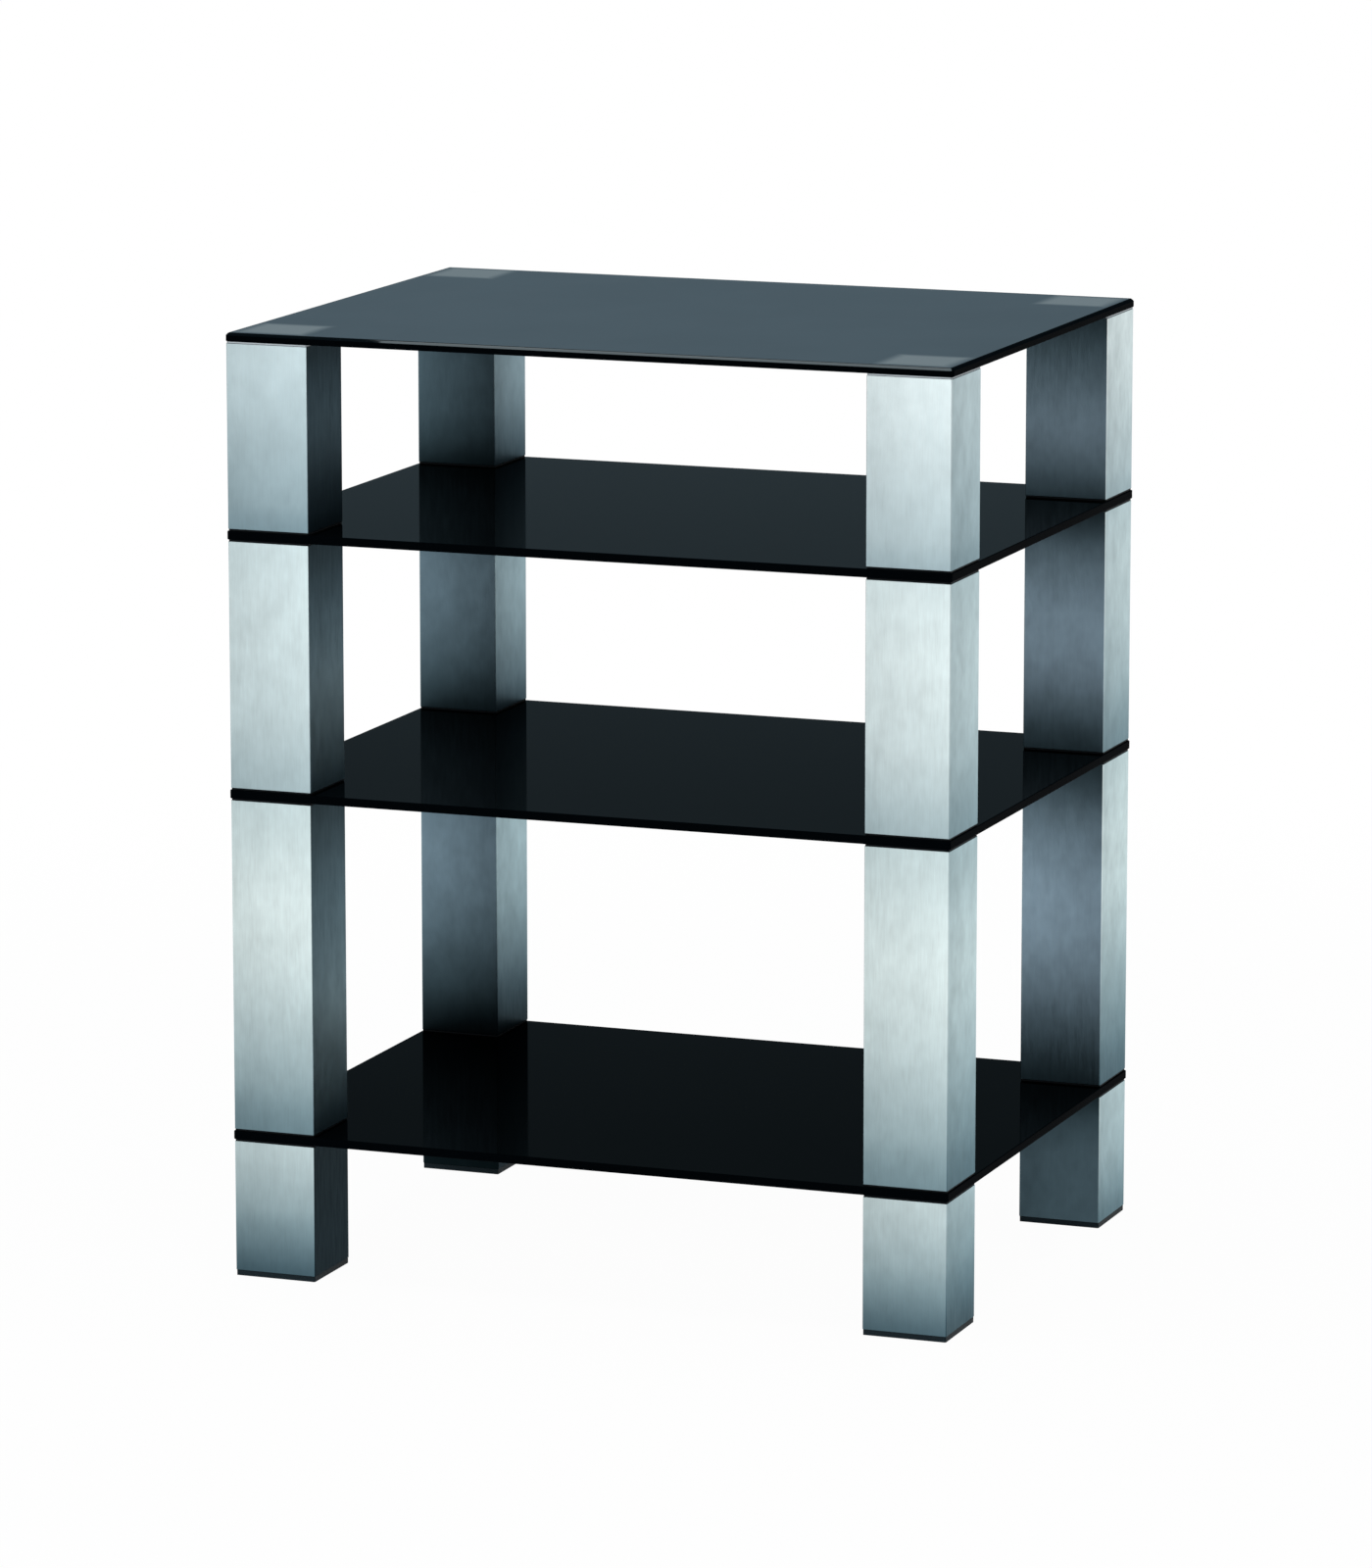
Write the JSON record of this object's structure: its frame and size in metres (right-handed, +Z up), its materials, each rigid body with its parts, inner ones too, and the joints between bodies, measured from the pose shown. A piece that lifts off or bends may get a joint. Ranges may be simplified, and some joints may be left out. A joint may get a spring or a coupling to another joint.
{
  "type": "tv and hi-fi rack",
  "caption": "Open free-standing rack for television and hi-fi equipment: black glass shelves clamped between square brushed aluminium posts by hidden tie rods, on flush black feet.",
  "frame": {"origin": "on the floor, under the middle of the rack", "axes": "+Z up, +X to the right as seen from the front, +Y to the back, so the front faces -Y"},
  "size_m": [0.7, 0.535, 0.8839],
  "materials": {
    "black_glass": "black tinted float glass, polished faces and edges",
    "brushed_aluminium": "brushed along the length, clear anodised",
    "black_plastic": "moulded, fine matt",
    "plate_aluminium": "cast, machined flat for bonding",
    "zinc_plated_steel": "bright zinc plated"
  },
  "bodies": {
    "root": {"lower_shelf": "black_glass", "middle_shelf": "black_glass", "upper_shelf": "black_glass", "top_shelf": "black_glass", "foot_cap_front_left": "black_plastic", "flange_nut_front_left": "zinc_plated_steel", "tie_rod_front_left": "zinc_plated_steel", "foot_post_front_left": "brushed_aluminium", "foot_post_top_plug_front_left": "black_plastic", "lower_post_front_left": "brushed_aluminium", "lower_post_base_plug_front_left": "black_plastic", "lower_post_top_plug_front_left": "black_plastic", "middle_post_front_left": "brushed_aluminium", "middle_post_base_plug_front_left": "black_plastic", "middle_post_top_plug_front_left": "black_plastic", "upper_post_front_left": "brushed_aluminium", "upper_post_base_plug_front_left": "black_plastic", "bonded_plate_front_left": "plate_aluminium", "foot_cap_front_right": "black_plastic", "flange_nut_front_right": "zinc_plated_steel", "tie_rod_front_right": "zinc_plated_steel", "foot_post_front_right": "brushed_aluminium", "foot_post_top_plug_front_right": "black_plastic", "lower_post_front_right": "brushed_aluminium", "lower_post_base_plug_front_right": "black_plastic", "lower_post_top_plug_front_right": "black_plastic", "middle_post_front_right": "brushed_aluminium", "middle_post_base_plug_front_right": "black_plastic", "middle_post_top_plug_front_right": "black_plastic", "upper_post_front_right": "brushed_aluminium", "upper_post_base_plug_front_right": "black_plastic", "bonded_plate_front_right": "plate_aluminium", "foot_cap_back_left": "black_plastic", "flange_nut_back_left": "zinc_plated_steel", "tie_rod_back_left": "zinc_plated_steel", "foot_post_back_left": "brushed_aluminium", "foot_post_top_plug_back_left": "black_plastic", "lower_post_back_left": "brushed_aluminium", "lower_post_base_plug_back_left": "black_plastic", "lower_post_top_plug_back_left": "black_plastic", "middle_post_back_left": "brushed_aluminium", "middle_post_base_plug_back_left": "black_plastic", "middle_post_top_plug_back_left": "black_plastic", "upper_post_back_left": "brushed_aluminium", "upper_post_base_plug_back_left": "black_plastic", "bonded_plate_back_left": "plate_aluminium", "foot_cap_back_right": "black_plastic", "flange_nut_back_right": "zinc_plated_steel", "tie_rod_back_right": "zinc_plated_steel", "foot_post_back_right": "brushed_aluminium", "foot_post_top_plug_back_right": "black_plastic", "lower_post_back_right": "brushed_aluminium", "lower_post_base_plug_back_right": "black_plastic", "lower_post_top_plug_back_right": "black_plastic", "middle_post_back_right": "brushed_aluminium", "middle_post_base_plug_back_right": "black_plastic", "middle_post_top_plug_back_right": "black_plastic", "upper_post_back_right": "brushed_aluminium", "upper_post_base_plug_back_right": "black_plastic", "bonded_plate_back_right": "plate_aluminium"}
  },
  "joints": []
}
